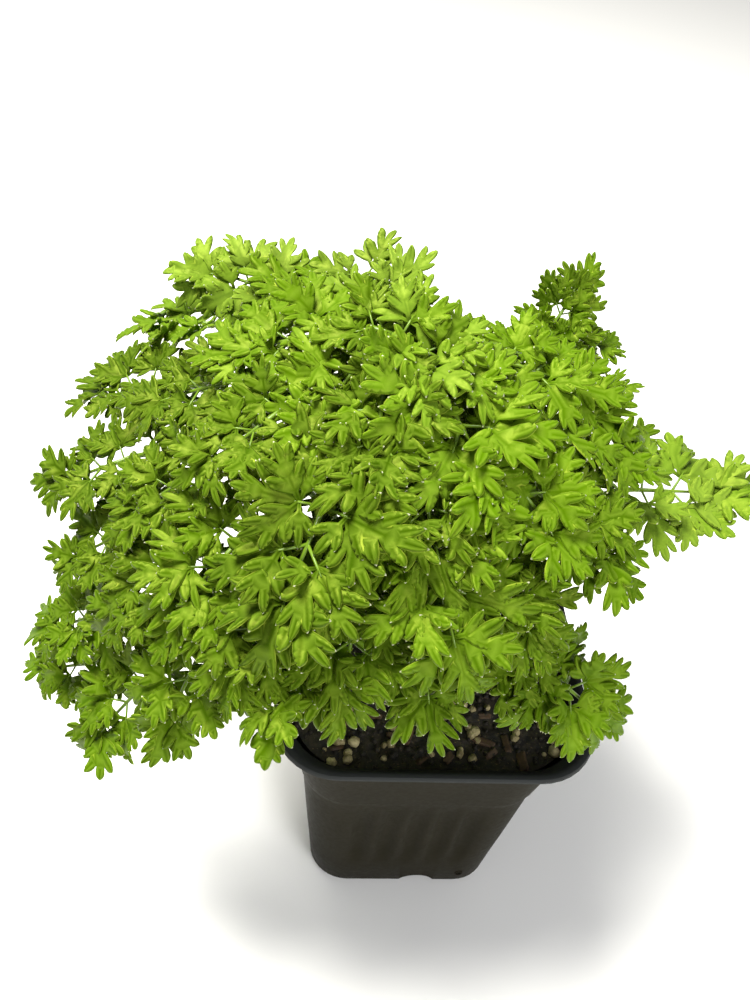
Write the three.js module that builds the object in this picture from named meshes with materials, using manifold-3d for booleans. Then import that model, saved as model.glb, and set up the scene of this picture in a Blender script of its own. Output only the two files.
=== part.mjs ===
// A parsley plant growing in a square, thin-walled plastic nursery pot.
// Millimetres, +Z up. The origin is the centre of the pot's underside.
//
// Every leaf is one solid: a stalk that rises from the crown and a blade that is cut
// into three toothed leaflets. The crown with its taproot, the potting mix and the pot
// are solids of their own. Nothing on the plant is jointed.

import * as THREE from 'three';
import { mergeVertices } from 'three/addons/utils/BufferGeometryUtils.js';
import Module from 'manifold-3d';

// ---------------------------------------------------------------- driving dimensions

const gap = 0.3; // clearance between neighbouring solids

const potHeight = 92;
const rimHalf = 46.4; // half the width over the rolled rim
const rimCorner = 13;
const rimWidth = 2.6;
const lipDrop = 2.4; // how far the rim hangs down outside the wall
const shoulderHalf = 42.8; // half the width of the wall just under the rim
const waistHalf = 36.5; // half the width just under the band
const bandStep = 0.9; // the smooth band stands out this much over the fluted wall
const footHalf = 30.8; // half the width above the rounded foot
const footRound = 3;
const bodyCorner = 13;
const wall = 1.0;
const floorThickness = 1.2;
const bandBottom = 63;
const fluteTop = 59.5;
const fluteBottom = 19;
const footBand = 15;
const fluteDepth = 0.9;
const flutesPerSide = 5;
const cornerSteps = 3;
const drainWidth = 13; // arched channel under each side
const drainShift = 5.5; // how far a channel is off the middle of its side
const drainHeight = 3;
const drainReach = 13; // how far a channel runs in from the side
const drainHoleRadius = 3;

const mixTop = 86.5; // level of the potting mix
const mixBump = 1.3;
const crownRadius = 15;
const crownHeight = 4; // above the mix
const taprootDepth = 58;

const stalkRadius = 0.95;
const stalkSides = 4;
const stalkSteps = 6;
const stalkLean = 0.12; // a stalk first leans out by this share of its reach
const stalkRise = 0.5; // and rises by this share of its length,
const stalkSweep = 0.22; // and it sweeps into the blade over this share of its length
const bladeThickness = 0.9;
const crownSpread = 0.16; // a leaf is rooted this fraction of its reach from the centre
const bowSizes = [2, 4, 6, 9, 12]; // how far a stalk may bend aside to clear the others
const bowDirections = 8;
const stalkClearance = 1.3 * gap; // a blade's tilt needs a little more than the gap
const bladeClearance = 1.5 * gap;
const sharpestCorner = 0.35; // keeps a sharp tip from growing without end
const rootShift = 0.35; // how far a bowed stalk's root moves, as a share of its bow
const plantAxis = new THREE.Vector3(-22, 12, 0); // the foliage leans off the pot's centre
const domeRadii = new THREE.Vector3(92, 78, 98);
const domeCentreHeight = potHeight + 10;
const light = new THREE.Vector3(-0.1, -0.5, 1); // blades turn part of the way to it

// Each leaf: where the middle of its blade is, across, back and above the rim, and the
// length of the blade. ahead and face turn a blade that doesn't follow the dome.
const leaves = {
  inner: [
    { at: [-20, -13, 66], blade: 37 },
    { at: [12, 6, 66], blade: 35 },
    { at: [-50, 26, 66], blade: 35 },
  ],
  top: [
    { at: [-23, 12, 104], blade: 37, ahead: [0.3, -1, 0] },
    { at: [1, 14, 93], blade: 38 },
    { at: [-11, -5, 108], blade: 35, ahead: [0.9, -0.5, 0] },
    { at: [-5, -23, 97], blade: 43 },
    { at: [-36, -9, 101], blade: 35 },
    { at: [-53, 8, 101], blade: 37 },
    { at: [-42, 35, 99], blade: 37 },
    { at: [18, 4, 99], blade: 35 },
  ],
  tall: [
    { at: [-64, 45, 97], blade: 36, ahead: [-1, 0.3, 0.1], face: [-0.1, -0.6, 0.9] },
    { at: [26, 34, 103], blade: 26, ahead: [0.4, 0.1, 1], face: [-0.2, -1, 0.4] },
    { at: [33, 30, 92], blade: 30, ahead: [0.9, 0.4, 0.3] },
    { at: [35, 18, 84], blade: 26, ahead: [1, -0.1, 0.7], face: [-0.8, -0.4, 0.7] },
  ],
  left: [
    { at: [-78, 42, 84], blade: 36 },
    { at: [-93, 26, 72], blade: 35 },
    { at: [-98, 2, 62], blade: 35 },
    { at: [-95, -13, 50], blade: 35 },
    { at: [-74, 6, 86], blade: 37 },
    { at: [-59, -17, 90], blade: 37 },
    { at: [-78, -17, 72], blade: 35 },
    { at: [-82, -32, 52], blade: 35 },
  ],
  front: [
    { at: [-44, -43, 76], blade: 45 },
    { at: [-66, -37, 64], blade: 39 },
    { at: [-10, -48, 71], blade: 41 },
    { at: [-14, -36, 84], blade: 37 },
    { at: [-28, -26, 95], blade: 35 },
    { at: [-31, -52, 56], blade: 36 },
    { at: [-55, -48, 56], blade: 35 },
    { at: [-12, -51, 51], blade: 34 },
    { at: [8, -43, 66], blade: 35 },
  ],
  right: [
    { at: [30, -5, 88], blade: 39 },
    { at: [11, -31, 86], blade: 37 },
    { at: [28, -27, 74], blade: 38 },
    { at: [64, 2, 66], blade: 44, ahead: [1, 0.1, -0.1], face: [0.1, -0.5, 1] },
    { at: [31, -46, 36], blade: 38, ahead: [0.8, -0.5, -0.25] },
    { at: [15, -44, 44], blade: 36, ahead: [0.5, -0.7, -0.25] },
  ],
  trailing: [
    { at: [-46, -54, 49], blade: 33, ahead: [-0.3, -0.8, -0.3], face: [-0.1, -0.6, 0.9] },
    { at: [-70, -48, 36], blade: 35, ahead: [-0.5, -0.8, -0.4] },
    { at: [-88, -38, 14], blade: 35, ahead: [-0.8, -0.6, -0.4] },
    { at: [-106, -15, 4], blade: 32, ahead: [-1, -0.1, -0.1] },
    { at: [-101, -19, 28], blade: 32, ahead: [-1, -0.2, -0.1] },
  ],
  back: [
    { at: [6, 46, 76], blade: 38 },
    { at: [-26, 50, 80], blade: 38 },
    { at: [-54, 62, 76], blade: 36 },
    { at: [34, 55, 70], blade: 37 },
    { at: [51, 29, 58], blade: 35 },
    { at: [11, 80, 56], blade: 37 },
    { at: [-25, 84, 56], blade: 37 },
    { at: [-83, 57, 46], blade: 35 },
    { at: [41, 59, 36], blade: 33 },
  ],
};

// A blade is drawn in units of its own length, from its foot at 0 along the midrib.
const bladeMiddle = 0.42; // the point of a blade that sits at its stated place
const midribHalf = 0.025;
const sideLeaflet = { foot: 0.11, turn: 76, length: 0.5, lobes: 5, spread: 180 };
const endLeaflet = { foot: 0.42, turn: 0, length: 0.58, lobes: 7, spread: 200 };
const lobeHub = 0.34; // where a leaflet's lobes part, as a share of its length
const notchReach = 0.24; // depth of the notches between lobes
const leafletRise = 0.2; // slope of the side leaflets out of the blade's plane
const tipFall = 0.35; // how much the end leaflet arches down

// ---------------------------------------------------------------- solids

const wasm = await Module();
wasm.setup();

function toSolid(geometry) {
  const bare = geometry.index ? geometry.toNonIndexed() : geometry.clone();
  bare.deleteAttribute('normal');
  bare.deleteAttribute('uv');
  const merged = mergeVertices(bare, 1e-4);
  return new wasm.Manifold(new wasm.Mesh({
    numProp: 3,
    vertProperties: new Float32Array(merged.attributes.position.array),
    triVerts: new Uint32Array(merged.index.array),
  }));
}

function toGeometry(solid) {
  const mesh = solid.getMesh();
  const geometry = new THREE.BufferGeometry();
  geometry.setAttribute('position', new THREE.BufferAttribute(new Float32Array(mesh.vertProperties), 3));
  geometry.setIndex(new THREE.BufferAttribute(new Uint32Array(mesh.triVerts), 1));
  geometry.computeVertexNormals();
  return geometry;
}

function largestPiece(solid) {
  return solid.decompose().reduce((best, piece) => (piece.volume() > best.volume() ? piece : best));
}

// A repeatable value from 0 to 1 for each whole number.
function scatter(index) {
  const value = Math.sin(index * 12.9898 + 4.1414) * 43758.5453;
  return value - Math.floor(value);
}

// ---------------------------------------------------------------- pot

// One level of the pot: a rounded square whose straight sides may be fluted.
function potRing({ z, half, corner, flute = 0 }) {
  const ring = [];
  const straight = half - corner;
  for (let side = 0; side < 4; side += 1) {
    const turn = (side * Math.PI) / 2;
    const local = [];
    for (let step = 0; step <= 2 * flutesPerSide; step += 1) {
      const inset = step % 2 === 1 ? flute : 0;
      local.push([half - inset, straight * (step / flutesPerSide - 1)]);
    }
    for (let step = 1; step <= cornerSteps; step += 1) {
      const angle = (step / (cornerSteps + 1)) * (Math.PI / 2);
      local.push([straight + corner * Math.cos(angle), straight + corner * Math.sin(angle)]);
    }
    for (const [x, y] of local) {
      ring.push(new THREE.Vector3(
        x * Math.cos(turn) - y * Math.sin(turn),
        x * Math.sin(turn) + y * Math.cos(turn),
        z,
      ));
    }
  }
  return ring;
}

// A closed solid from rings in order, its first and last ring filled to their centres.
function loftRings(rings, firstCentre, lastCentre) {
  const points = [...rings.flat(), firstCentre, lastCentre];
  const count = rings[0].length;
  const index = [];
  for (let ring = 0; ring < rings.length - 1; ring += 1) {
    for (let step = 0; step < count; step += 1) {
      const a = ring * count + step;
      const b = ring * count + ((step + 1) % count);
      index.push(a, b, b + count, a, b + count, a + count);
    }
  }
  const first = points.length - 2;
  const last = points.length - 1;
  const lastRing = (rings.length - 1) * count;
  for (let step = 0; step < count; step += 1) {
    const next = (step + 1) % count;
    index.push(first, next, step);
    index.push(last, lastRing + step, lastRing + next);
  }
  const geometry = new THREE.BufferGeometry().setFromPoints(points);
  geometry.setIndex(index);
  return geometry;
}

// Half the width of the wall's outside at a height above the base.
function wallHalf(z) {
  if (z <= fluteTop) {
    return THREE.MathUtils.mapLinear(z, footRound, fluteTop, footHalf, waistHalf);
  }
  const bandHalf = waistHalf + bandStep;
  return THREE.MathUtils.mapLinear(z, bandBottom, potHeight - lipDrop, bandHalf, shoulderHalf);
}

// Half the width inside the wall, behind the bottoms of the flutes.
function innerHalf(z) {
  return wallHalf(z) - wall - (z <= fluteTop ? fluteDepth : 0);
}

function makePot() {
  const rimTop = potHeight;
  const underRim = rimTop - lipDrop;
  const rimInner = rimHalf - rimWidth;
  const foot = [
    { z: 0, half: footHalf - 3.4, corner: bodyCorner - 2 },
    { z: 0.9, half: footHalf - 1.6, corner: bodyCorner - 1 },
    { z: footRound, half: footHalf, corner: bodyCorner },
    { z: footBand, half: wallHalf(footBand), corner: bodyCorner },
  ];
  const outside = [
    ...foot,
    { z: fluteBottom, half: wallHalf(fluteBottom), corner: bodyCorner, flute: fluteDepth },
    { z: fluteTop, half: wallHalf(fluteTop), corner: bodyCorner, flute: fluteDepth },
    { z: bandBottom, half: wallHalf(bandBottom), corner: bodyCorner },
    { z: underRim, half: shoulderHalf, corner: bodyCorner },
    { z: underRim + wall, half: rimInner + 0.6, corner: rimCorner },
    { z: underRim + wall, half: rimHalf - wall, corner: rimCorner },
    { z: underRim, half: rimHalf - wall, corner: rimCorner },
    { z: underRim, half: rimHalf, corner: rimCorner },
    { z: rimTop - 0.8, half: rimHalf, corner: rimCorner },
    { z: rimTop, half: rimHalf - 0.8, corner: rimCorner },
  ];
  const inside = [
    { z: rimTop, half: rimInner + 0.6, corner: rimCorner },
    { z: rimTop - 0.8, half: rimInner - 0.3, corner: rimCorner },
    { z: underRim, half: innerHalf(underRim), corner: bodyCorner - wall },
    { z: bandBottom, half: innerHalf(bandBottom), corner: bodyCorner - wall },
    { z: fluteTop, half: innerHalf(fluteTop), corner: bodyCorner - wall },
    { z: floorThickness + 4, half: innerHalf(4), corner: bodyCorner - 2 },
    { z: floorThickness, half: innerHalf(0) - 2.5, corner: bodyCorner - 4 },
  ];
  const rings = [...outside, ...inside].map(potRing);
  const shell = toSolid(loftRings(
    rings,
    new THREE.Vector3(0, 0, 0),
    new THREE.Vector3(0, 0, floorThickness),
  ));
  const envelope = toSolid(loftRings(
    foot.map(potRing),
    new THREE.Vector3(0, 0, 0),
    new THREE.Vector3(0, 0, footBand),
  ));
  let pot = shell;
  for (let side = 0; side < 4; side += 1) {
    pot = pot.add(drainChannel(side, wall, 0).intersect(envelope));
  }
  for (let side = 0; side < 4; side += 1) {
    pot = pot.subtract(drainChannel(side, 0, 1));
    pot = pot.subtract(drainHole(side));
  }
  return toGeometry(pot);
}

// An arched channel that runs in from one side, grown by extra.
function drainChannel(side, extra, below) {
  const arch = new THREE.Shape();
  arch.moveTo(-drainWidth / 2 - extra, -below);
  arch.lineTo(-drainWidth / 2 - extra, 0);
  for (const angle of [145, 115, 90, 65, 35]) {
    const turn = THREE.MathUtils.degToRad(angle);
    arch.lineTo(
      (drainWidth / 2 + extra) * Math.cos(turn),
      (drainHeight + extra) * Math.sin(turn),
    );
  }
  arch.lineTo(drainWidth / 2 + extra, 0);
  arch.lineTo(drainWidth / 2 + extra, -below);
  const length = drainReach + drainWidth + extra;
  const channel = new THREE.ExtrudeGeometry(arch, { depth: length, bevelEnabled: false });
  channel.rotateX(Math.PI / 2);
  channel.translate(drainShift, -footHalf + drainReach + extra, 0);
  channel.rotateZ((side * Math.PI) / 2);
  return toSolid(channel);
}

// A hole through the floor near one corner.
function drainHole(side) {
  const length = 4 * floorThickness;
  const hole = new THREE.CylinderGeometry(drainHoleRadius, drainHoleRadius, length, 12);
  hole.rotateX(Math.PI / 2);
  const reach = footHalf - bodyCorner + 1;
  hole.translate(reach, reach, 0);
  hole.rotateZ((side * Math.PI) / 2);
  return toSolid(hole);
}

// ---------------------------------------------------------------- potting mix and crown

// A rounded square with plain sides, for the potting mix.
function mixRing(half, corner, height) {
  const ring = [];
  const arcSteps = 4;
  for (let side = 0; side < 4; side += 1) {
    for (let step = 0; step <= arcSteps; step += 1) {
      const angle = ((side + step / arcSteps) * Math.PI) / 2;
      const middle = (side + 0.5) * (Math.PI / 2);
      const reach = (half - corner) * Math.SQRT2;
      ring.push(new THREE.Vector3(
        reach * Math.cos(middle) + corner * Math.cos(angle),
        reach * Math.sin(middle) + corner * Math.sin(angle),
        height(ring.length),
      ));
    }
  }
  return ring;
}

function makeMix() {
  const under = floorThickness + drainHeight + wall + gap;
  const edge = innerHalf(mixTop) - gap;
  const corner = bodyCorner;
  const rings = [
    mixRing(innerHalf(under) - gap - 1, corner, () => under),
    mixRing(innerHalf(under + 4) - gap, corner, () => under + 4),
    mixRing(innerHalf(fluteTop) - gap, corner, () => fluteTop),
    mixRing(innerHalf(bandBottom) - gap, corner, () => bandBottom),
    mixRing(edge, corner, () => mixTop - 1),
  ];
  [0.8, 0.6].forEach((share, ring) => {
    rings.push(mixRing(edge * share, corner * share, (step) => (
      mixTop + mixBump * (scatter(step + 40 * ring) - 0.5)
    )));
  });
  const body = toSolid(loftRings(
    rings,
    new THREE.Vector3(0, 0, under),
    new THREE.Vector3(0, 0, mixTop),
  ));
  return toGeometry(body.subtract(toSolid(crownGeometry(gap))));
}

// The crown's outline from its taproot up to its top: radius and height above the mix.
const crownProfile = [
  [0, -taprootDepth],
  [1.2, -taprootDepth + 2],
  [4, -30],
  [8, -8],
  [crownRadius - 2, -1],
  [crownRadius, 1],
  [crownRadius - 3, crownHeight - 0.8],
  [0, crownHeight],
];

// The squat crown that the stalks grow from, and the taproot under it.
function crownGeometry(extra) {
  const last = crownProfile.length - 1;
  const profile = crownProfile.map(([radius, height], index) => {
    const onAxis = index === 0 || index === last;
    const lift = index === 0 ? -extra : Math.sign(height) * extra * 0.5;
    return new THREE.Vector2(onAxis ? 0 : radius + extra, mixTop + height + lift);
  });
  const crown = new THREE.LatheGeometry(profile, 16);
  crown.rotateX(Math.PI / 2);
  return crown;
}

// The height of the crown or the mix at a distance from the middle.
function groundHeight(radius) {
  const edge = crownProfile[crownProfile.length - 2];
  if (radius < edge[0]) return mixTop + crownHeight;
  if (radius < crownRadius) {
    return mixTop + THREE.MathUtils.mapLinear(radius, edge[0], crownRadius, crownHeight, 2);
  }
  return mixTop + mixBump / 2;
}

// ---------------------------------------------------------------- leaves

// The frame of a blade: its middle, the way it faces, the way its midrib runs.
function bladeFrame(leaf) {
  const [x, y, height] = leaf.at;
  const middle = new THREE.Vector3(x, y, potHeight + height);
  const outward = new THREE.Vector3(x, y, 0).sub(plantAxis);
  const reach = Math.max(outward.length(), 1);
  const face = leaf.face
    ? new THREE.Vector3(...leaf.face)
    : new THREE.Vector3(
      outward.x / domeRadii.x ** 2,
      outward.y / domeRadii.y ** 2,
      (middle.z - domeCentreHeight) / domeRadii.z ** 2,
    ).normalize().add(light);
  face.normalize();
  const ahead = leaf.ahead
    ? new THREE.Vector3(...leaf.ahead)
    : outward.clone().divideScalar(reach);
  ahead.addScaledVector(face, -ahead.dot(face)).normalize();
  const aside = new THREE.Vector3().crossVectors(ahead, face);
  return { middle, face, ahead, aside };
}

// The stalk's route: up from the crown, bowed sideways, over to the foot of the blade.
function stalkCurve(leaf, frame, bow) {
  const rooted = new THREE.Vector3(leaf.at[0] * crownSpread, leaf.at[1] * crownSpread, 0);
  rooted.addScaledVector(bow, rootShift);
  rooted.z = groundHeight(rooted.length() - stalkRadius) + stalkRadius;
  const foot = frame.middle.clone().addScaledVector(frame.ahead, -bladeMiddle * leaf.blade);
  const rise = foot.clone().sub(rooted);
  const climb = new THREE.CubicBezierCurve3(
    rooted,
    rooted.clone()
      .add(new THREE.Vector3(rise.x * stalkLean, rise.y * stalkLean, rise.length() * stalkRise))
      .add(bow),
    foot.clone().addScaledVector(frame.ahead, -rise.length() * stalkSweep).add(bow),
    foot,
  );
  const end = foot.clone().addScaledVector(frame.ahead, sideLeaflet.foot * leaf.blade);
  return new THREE.CatmullRomCurve3([...climb.getPoints(5), end], false, 'centripetal');
}

function stalkSolid(leaf, frame, bow, extra) {
  const section = new THREE.Shape();
  const radius = stalkRadius + extra;
  for (let side = 0; side < stalkSides; side += 1) {
    const angle = (side / stalkSides) * 2 * Math.PI;
    const corner = [radius * Math.cos(angle), radius * Math.sin(angle)];
    if (side === 0) section.moveTo(...corner);
    else section.lineTo(...corner);
  }
  return toSolid(new THREE.ExtrudeGeometry(section, {
    steps: stalkSteps,
    extrudePath: stalkCurve(leaf, frame, bow),
    bevelEnabled: false,
  }));
}

// Bows each stalk as little as keeps it clear of the stalks made before it.
function growStalks(list) {
  const bows = [new THREE.Vector3()];
  for (const size of bowSizes) {
    for (let step = 0; step < bowDirections; step += 1) {
      const angle = (step / bowDirections) * 2 * Math.PI;
      bows.push(new THREE.Vector3(size * Math.cos(angle), size * Math.sin(angle), 0));
    }
  }
  const grown = [];
  for (const leaf of list) {
    leaf.frame = bladeFrame(leaf);
    const crossings = (bow) => {
      const room = stalkSolid(leaf, leaf.frame, bow, gap);
      return grown.filter((other) => room.intersect(other).volume() > 0).length;
    };
    leaf.bow = bows.find((bow) => crossings(bow) === 0);
    if (!leaf.bow) throw new Error(`${leaf.name} crosses other stalks`);
    leaf.stalk = stalkSolid(leaf, leaf.frame, leaf.bow, 0);
    leaf.stalkRoom = stalkSolid(leaf, leaf.frame, leaf.bow, stalkClearance);
    grown.push(leaf.stalk);
  }
}

// The tips and notches of one leaflet, in order round its edge. Its foot is on the
// midrib, and side is 1 on the right of the midrib and -1 on the left.
function leafletEdge({ foot, turn, length, lobes, spread }, side) {
  const axis = THREE.MathUtils.degToRad(turn * side);
  const hub = [lobeHub * length * Math.sin(axis), foot + lobeHub * length * Math.cos(axis)];
  const points = [];
  for (let step = 0; step <= 2 * (lobes - 1); step += 1) {
    const off = 0.5 - step / (2 * (lobes - 1));
    const angle = axis + THREE.MathUtils.degToRad(spread * off);
    const isTip = step % 2 === 0;
    const reach = length * (isTip ? 1 - lobeHub - 0.5 * Math.abs(off) : notchReach);
    points.push([hub[0] + reach * Math.sin(angle), hub[1] + reach * Math.cos(angle)]);
  }
  return points;
}

// The whole blade's outline, which runs up its right edge and down its left.
function bladeOutline() {
  const { foot } = sideLeaflet;
  const rightHalf = [
    [midribHalf, 0],
    [midribHalf, foot - 0.04],
    ...leafletEdge(sideLeaflet, 1),
    [midribHalf, foot + 0.05],
    [midribHalf, endLeaflet.foot],
  ];
  const leftHalf = rightHalf.map(([x, y]) => [-x, y]).reverse();
  return [...rightHalf, ...leafletEdge(endLeaflet, 1), ...leftHalf];
}

// An outline moved outwards by a distance, each corner along its own bisector.
function growOutline(points, distance) {
  return points.map((point, index) => {
    const before = points[(index + points.length - 1) % points.length];
    const after = points[(index + 1) % points.length];
    const into = point.clone().sub(before).normalize();
    const out = after.clone().sub(point).normalize();
    const bisector = new THREE.Vector2(into.y + out.y, -into.x - out.x).normalize();
    const spread = Math.max(bisector.dot(new THREE.Vector2(into.y, -into.x)), sharpestCorner);
    return point.clone().addScaledVector(bisector, distance / spread);
  });
}

// A thin lobed plate, its side leaflets lifted and its end leaflet arched down.
function bladeSolid(leaf, frame, extra) {
  const outline = bladeOutline().map(([x, y]) => (
    new THREE.Vector2(x * leaf.blade, (y - bladeMiddle) * leaf.blade)
  ));
  const thickness = bladeThickness + 2 * extra;
  const shape = new THREE.Shape(growOutline(outline, extra));
  const plate = new THREE.ExtrudeGeometry(shape, { depth: thickness, bevelEnabled: false });
  plate.translate(0, 0, -thickness / 2);
  const corners = plate.attributes.position;
  for (let index = 0; index < corners.count; index += 1) {
    const beyond = Math.max(corners.getY(index) / leaf.blade, 0);
    const lift = leafletRise * Math.abs(corners.getX(index)) - tipFall * beyond ** 2 * leaf.blade;
    corners.setZ(index, corners.getZ(index) + lift);
  }
  const place = new THREE.Matrix4().makeBasis(frame.aside, frame.ahead, frame.face);
  plate.applyMatrix4(place.setPosition(frame.middle));
  return toSolid(plate);
}

// The space that a blade and the clearance round it take up.
function bladeRoom(leaf) {
  const blade = bladeSolid(leaf, leaf.frame, 0);
  const above = leaf.frame.face.clone().multiplyScalar(gap);
  const below = above.clone().negate();
  return bladeSolid(leaf, leaf.frame, bladeClearance)
    .add(blade.translate(above.toArray()))
    .add(blade.translate(below.toArray()));
}

function listLeaves() {
  const list = [];
  for (const [region, members] of Object.entries(leaves)) {
    members.forEach((leaf, index) => {
      list.push({ ...leaf, name: `leaf_${region}_${index + 1}`, region });
    });
  }
  return list;
}

// Every stalk keeps its whole length. A blade gives way to the stalks that pass it and
// to the blades made before it.
function makeLeaves() {
  const list = listLeaves();
  growStalks(list);
  const rooms = [];
  for (const leaf of list) {
    let blade = bladeSolid(leaf, leaf.frame, 0);
    for (const other of list) {
      if (other !== leaf) blade = blade.subtract(other.stalkRoom);
    }
    for (const taken of rooms) {
      blade = blade.subtract(taken);
    }
    rooms.push(bladeRoom(leaf));
    leaf.solid = largestPiece(blade.add(leaf.stalk));
  }
  return list;
}

// ---------------------------------------------------------------- the object

const potPlastic = new THREE.MeshStandardMaterial({ color: 0x34332c, roughness: 0.55, metalness: 0 });
const peat = new THREE.MeshStandardMaterial({ color: 0x2b2419, roughness: 0.95, metalness: 0 });
const rootstock = new THREE.MeshStandardMaterial({ color: 0xb7bd7c, roughness: 0.6, metalness: 0 });
const leafGreens = {
  top: 0x86b022,
  tall: 0x6f9a2b,
  left: 0x5f8612,
  front: 0x76a312,
  right: 0x7ba31f,
  trailing: 0x9bb83a,
  back: 0x5c7f14,
  inner: 0x49670c,
};

const plantInPot = new THREE.Group();

function place(name, geometry, material) {
  const mesh = new THREE.Mesh(geometry, material);
  mesh.name = name;
  plantInPot.add(mesh);
}

place('nursery_pot', makePot(), potPlastic);
place('potting_mix', makeMix(), peat);
place('crown_and_taproot', toGeometry(toSolid(crownGeometry(0))), rootstock);
for (const leaf of makeLeaves()) {
  const green = new THREE.MeshStandardMaterial({
    color: leafGreens[leaf.region],
    roughness: 0.45,
    metalness: 0,
  });
  place(leaf.name, toGeometry(leaf.solid), green);
}

export default plantInPot;
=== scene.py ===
# A cut-leaf parsley plant in a square black plastic nursery pot.
# The plan of the leaves below repeats the CAD model's, in millimetres, so each drawn leaf
# stands where its solid stands. Everything made here is in metres.

import math
import random

import bmesh
import bpy
import numpy as np
from mathutils import Matrix, Vector
from mathutils.geometry import delaunay_2d_cdt


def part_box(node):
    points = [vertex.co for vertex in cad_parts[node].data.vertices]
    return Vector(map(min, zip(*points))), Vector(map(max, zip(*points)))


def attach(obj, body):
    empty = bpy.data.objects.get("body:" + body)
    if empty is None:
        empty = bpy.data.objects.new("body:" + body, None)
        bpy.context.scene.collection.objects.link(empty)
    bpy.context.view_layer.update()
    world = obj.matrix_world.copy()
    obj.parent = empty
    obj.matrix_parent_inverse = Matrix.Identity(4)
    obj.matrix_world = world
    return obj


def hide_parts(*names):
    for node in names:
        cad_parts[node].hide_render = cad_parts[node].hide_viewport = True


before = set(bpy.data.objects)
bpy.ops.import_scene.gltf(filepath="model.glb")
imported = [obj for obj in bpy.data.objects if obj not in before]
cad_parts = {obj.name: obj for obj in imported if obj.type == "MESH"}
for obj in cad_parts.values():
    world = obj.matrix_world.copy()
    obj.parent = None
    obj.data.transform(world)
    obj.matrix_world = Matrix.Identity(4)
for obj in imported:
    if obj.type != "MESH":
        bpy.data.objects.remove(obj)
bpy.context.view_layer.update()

MM = 0.001

# ------------------------------------------------------------------ driving dimensions

RIM_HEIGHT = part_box("nursery_pot")[1].z / MM
FOOT_HALF = 30.8  # half the width over the foot, where its edge ends
BODY_CORNER = 13.0  # the radius of the pot's upright corners
MIX_TOP = 86.5  # mean level of the potting mix

PLANT_AXIS = Vector((-22.0, 12.0, 0.0))  # the foliage leans off the pot's centre
DOME_RADII = Vector((92.0, 78.0, 98.0))
DOME_CENTRE_HEIGHT = RIM_HEIGHT + 10.0
LIGHT = Vector((-0.1, -0.5, 1.0))  # blades turn part of the way to the light
CROWN_SPREAD = 0.16  # a leaf is rooted this fraction of its reach from the centre
BLADE_MIDDLE = 0.42  # the point of a blade, along its midrib, that sits at its place
LEAF_THICKNESS = 0.28

# Each leaf: the middle of its blade across, back and above the rim, the length of the
# blade, and the way it runs and faces where it doesn't follow the dome.
LEAVES = {
    "inner": [
        ((-20, -13, 66), 37),
        ((12, 6, 66), 35),
        ((-50, 26, 66), 35),
    ],
    "top": [
        ((-23, 12, 104), 37, (0.3, -1, 0)),
        ((1, 14, 93), 38),
        ((-11, -5, 108), 35, (0.9, -0.5, 0)),
        ((-5, -23, 97), 43),
        ((-36, -9, 101), 35),
        ((-53, 8, 101), 37),
        ((-42, 35, 99), 37),
        ((18, 4, 99), 35),
    ],
    "tall": [
        ((-64, 45, 97), 36, (-1, 0.3, 0.1), (-0.1, -0.6, 0.9)),
        ((26, 34, 103), 26, (0.4, 0.1, 1), (-0.2, -1, 0.4)),
        ((33, 30, 92), 30, (0.9, 0.4, 0.3)),
        ((35, 18, 84), 26, (1, -0.1, 0.7), (-0.8, -0.4, 0.7)),
    ],
    "left": [
        ((-78, 42, 84), 36),
        ((-93, 26, 72), 35),
        ((-98, 2, 62), 35),
        ((-95, -13, 50), 35),
        ((-74, 6, 86), 37),
        ((-59, -17, 90), 37),
        ((-78, -17, 72), 35),
        ((-82, -32, 52), 35),
    ],
    "front": [
        ((-44, -43, 76), 45),
        ((-66, -37, 64), 39),
        ((-10, -48, 71), 41),
        ((-14, -36, 84), 37),
        ((-28, -26, 95), 35),
        ((-31, -52, 56), 36),
        ((-55, -48, 56), 35),
        ((-12, -51, 51), 34),
        ((8, -43, 66), 35),
    ],
    "right": [
        ((30, -5, 88), 39),
        ((11, -31, 86), 37),
        ((28, -27, 74), 38),
        ((64, 2, 66), 44, (1, 0.1, -0.1), (0.1, -0.5, 1)),
        ((31, -46, 36), 38, (0.8, -0.5, -0.25)),
        ((15, -44, 44), 36, (0.5, -0.7, -0.25)),
    ],
    "trailing": [
        ((-46, -54, 49), 33, (-0.3, -0.8, -0.3), (-0.1, -0.6, 0.9)),
        ((-70, -48, 36), 35, (-0.5, -0.8, -0.4)),
        ((-88, -38, 14), 35, (-0.8, -0.6, -0.4)),
        ((-106, -15, 4), 32, (-1, -0.1, -0.1)),
        ((-101, -19, 28), 32, (-1, -0.2, -0.1)),
    ],
    "back": [
        ((6, 46, 76), 38),
        ((-26, 50, 80), 38),
        ((-54, 62, 76), 36),
        ((34, 55, 70), 37),
        ((51, 29, 58), 35),
        ((11, 80, 56), 37),
        ((-25, 84, 56), 37),
        ((-83, 57, 46), 35),
        ((41, 59, 36), 33),
    ],
}

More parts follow.
